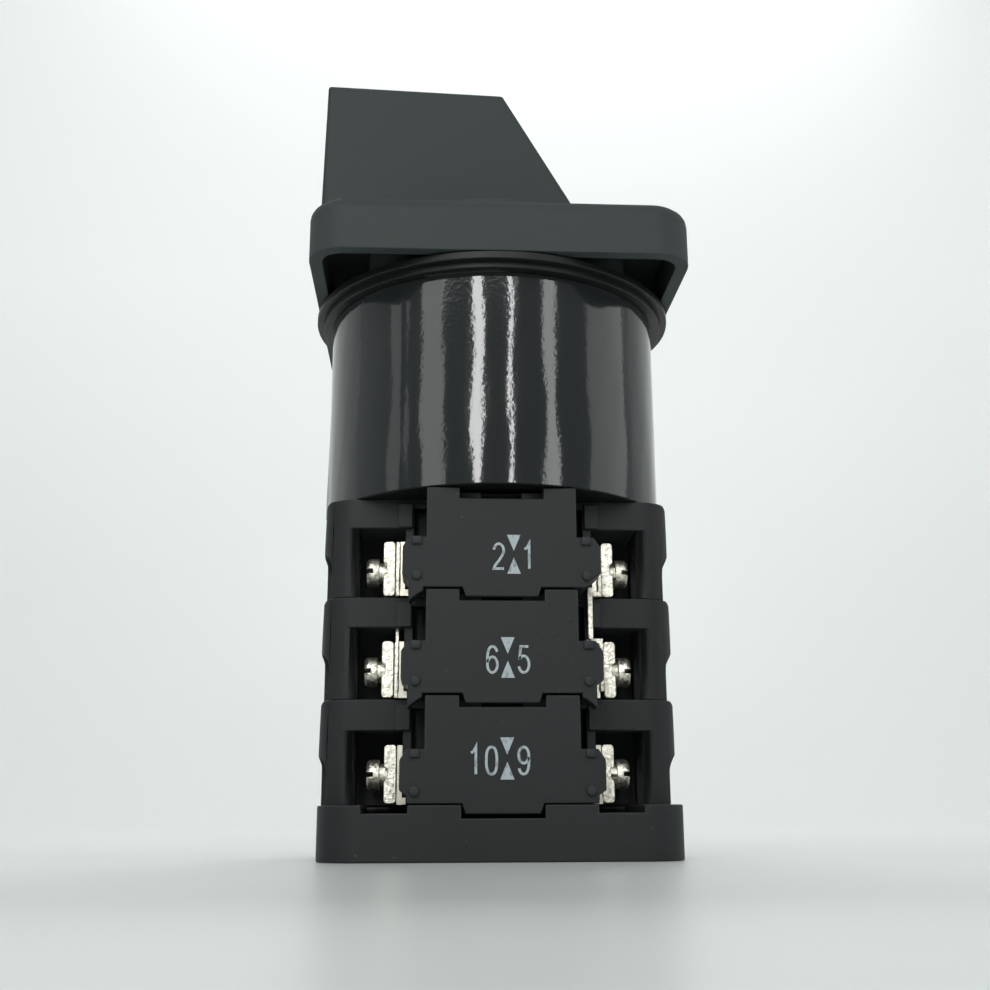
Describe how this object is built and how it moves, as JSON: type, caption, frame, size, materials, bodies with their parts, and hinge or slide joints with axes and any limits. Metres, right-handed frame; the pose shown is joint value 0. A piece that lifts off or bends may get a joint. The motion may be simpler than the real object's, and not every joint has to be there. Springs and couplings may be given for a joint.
{
  "type": "rotary cam switch",
  "caption": "Rotary cam switch for panel mounting: stacked contact stages with screw terminals, round indexing barrel, square bezel and wedge-shaped knob.",
  "frame": {"origin": "bottom centre, on the rear cover's flat face where the shaft's axis meets it", "axes": "+Z along the shaft towards the knob, -Y out of the numbered panel that the picture shows, +X to the right in the picture, away from the knob's tall tail"},
  "size_m": [0.0489, 0.0488, 0.1047],
  "materials": {
    "housing_plastic": "fine moulded grain, satin",
    "barrel_plastic": "smooth moulded, satin",
    "front_plastic": "fine eroded grain, satin",
    "label_film": "glossy film",
    "legend_metal": "brushed",
    "nickel": "nickel plated, slightly rough",
    "contact_brass": "plated, satin",
    "contact_copper": "rolled copper alloy",
    "white_plastic": "natural moulding, satin",
    "spring_steel": "drawn wire",
    "zinc_steel": "zinc plated"
  },
  "bodies": {
    "switch": {"rear_cover": "housing_plastic", "stage_housing_1": "housing_plastic", "stage_housing_2": "housing_plastic", "stage_housing_3": "housing_plastic", "index_housing": "barrel_plastic", "index_base": "barrel_plastic", "bezel": "front_plastic", "label_sleeve": "label_film", "legend_plate": "legend_metal", "saddle_clamps_1": "nickel", "saddle_clamps_2": "nickel", "saddle_clamps_3": "nickel", "terminal_screws_1": "nickel", "terminal_screws_2": "nickel", "terminal_screws_3": "nickel", "jumper_link_right": "nickel", "jumper_link_left": "nickel", "fixed_contacts_1": "contact_brass", "fixed_contacts_2": "contact_brass", "fixed_contacts_3": "contact_brass", "threaded_inserts": "contact_brass", "contact_spring_front_1": "spring_steel", "contact_spring_front_2": "spring_steel", "contact_spring_front_3": "spring_steel", "contact_spring_back_1": "spring_steel", "contact_spring_back_2": "spring_steel", "contact_spring_back_3": "spring_steel", "index_spring_front": "spring_steel", "index_spring_back": "spring_steel", "tie_bolts": "zinc_steel", "thrust_washer": "zinc_steel"},
    "rotor": {"shaft": "zinc_steel", "cam_1": "white_plastic", "cam_2": "white_plastic", "cam_3": "white_plastic", "stop_plate": "zinc_steel", "index_wheel": "white_plastic", "knob": "front_plastic", "knob_clip": "spring_steel"},
    "index_slider_front": {"index_slider_front": "white_plastic"},
    "index_slider_back": {"index_slider_back": "white_plastic"},
    "contact_front_1": {"plunger_front_1": "white_plastic", "bridge_front_1": "contact_copper"},
    "contact_front_2": {"plunger_front_2": "white_plastic", "bridge_front_2": "contact_copper"},
    "contact_front_3": {"plunger_front_3": "white_plastic", "bridge_front_3": "contact_copper"},
    "contact_back_1": {"plunger_back_1": "white_plastic", "bridge_back_1": "contact_copper"},
    "contact_back_2": {"plunger_back_2": "white_plastic", "bridge_back_2": "contact_copper"},
    "contact_back_3": {"plunger_back_3": "white_plastic", "bridge_back_3": "contact_copper"}
  },
  "joints": [
    {"name": "knob_turn", "type": "hinge", "parent": "switch", "child": "rotor", "pos_m": [0, 0, 0.072], "axis": [0, 0, 1], "range_deg": [-45, 45]},
    {"name": "plunger_travel_front_1", "type": "slide", "parent": "switch", "child": "contact_front_1", "axis": [0, 1, 0], "range_m": [-0.0016, 0.0016], "deforming": ["contact_spring_front_1"]},
    {"name": "plunger_travel_front_2", "type": "slide", "parent": "switch", "child": "contact_front_2", "axis": [0, 1, 0], "range_m": [-0.0016, 0.0016], "deforming": ["contact_spring_front_2"]},
    {"name": "plunger_travel_front_3", "type": "slide", "parent": "switch", "child": "contact_front_3", "axis": [0, 1, 0], "range_m": [-0.0016, 0.0016], "deforming": ["contact_spring_front_3"]},
    {"name": "index_slide_front", "type": "slide", "parent": "switch", "child": "index_slider_front", "axis": [0, -1, 0], "range_m": [0, 0.0012], "stiffness_N_per_m": 500, "springref_m": -0.003, "deforming": ["index_spring_front"]},
    {"name": "plunger_travel_back_1", "type": "slide", "parent": "switch", "child": "contact_back_1", "axis": [0, 1, 0], "range_m": [-0.0016, 0.0016], "deforming": ["contact_spring_back_1"]},
    {"name": "plunger_travel_back_2", "type": "slide", "parent": "switch", "child": "contact_back_2", "axis": [0, 1, 0], "range_m": [-0.0016, 0.0016], "deforming": ["contact_spring_back_2"]},
    {"name": "plunger_travel_back_3", "type": "slide", "parent": "switch", "child": "contact_back_3", "axis": [0, 1, 0], "range_m": [-0.0016, 0.0016], "deforming": ["contact_spring_back_3"]},
    {"name": "index_slide_back", "type": "slide", "parent": "switch", "child": "index_slider_back", "axis": [0, 1, 0], "range_m": [0, 0.0012], "stiffness_N_per_m": 500, "springref_m": -0.003, "deforming": ["index_spring_back"]}
  ],
  "couplings": [
    {"joint": "plunger_travel_front_1", "follows": "knob_turn", "m_per_rad": 0.002},
    {"joint": "plunger_travel_front_2", "follows": "knob_turn", "m_per_rad": 0.002},
    {"joint": "plunger_travel_front_3", "follows": "knob_turn", "m_per_rad": 0.002},
    {"joint": "plunger_travel_back_1", "follows": "knob_turn", "m_per_rad": 0.002},
    {"joint": "plunger_travel_back_2", "follows": "knob_turn", "m_per_rad": 0.002},
    {"joint": "plunger_travel_back_3", "follows": "knob_turn", "m_per_rad": 0.002}
  ]
}
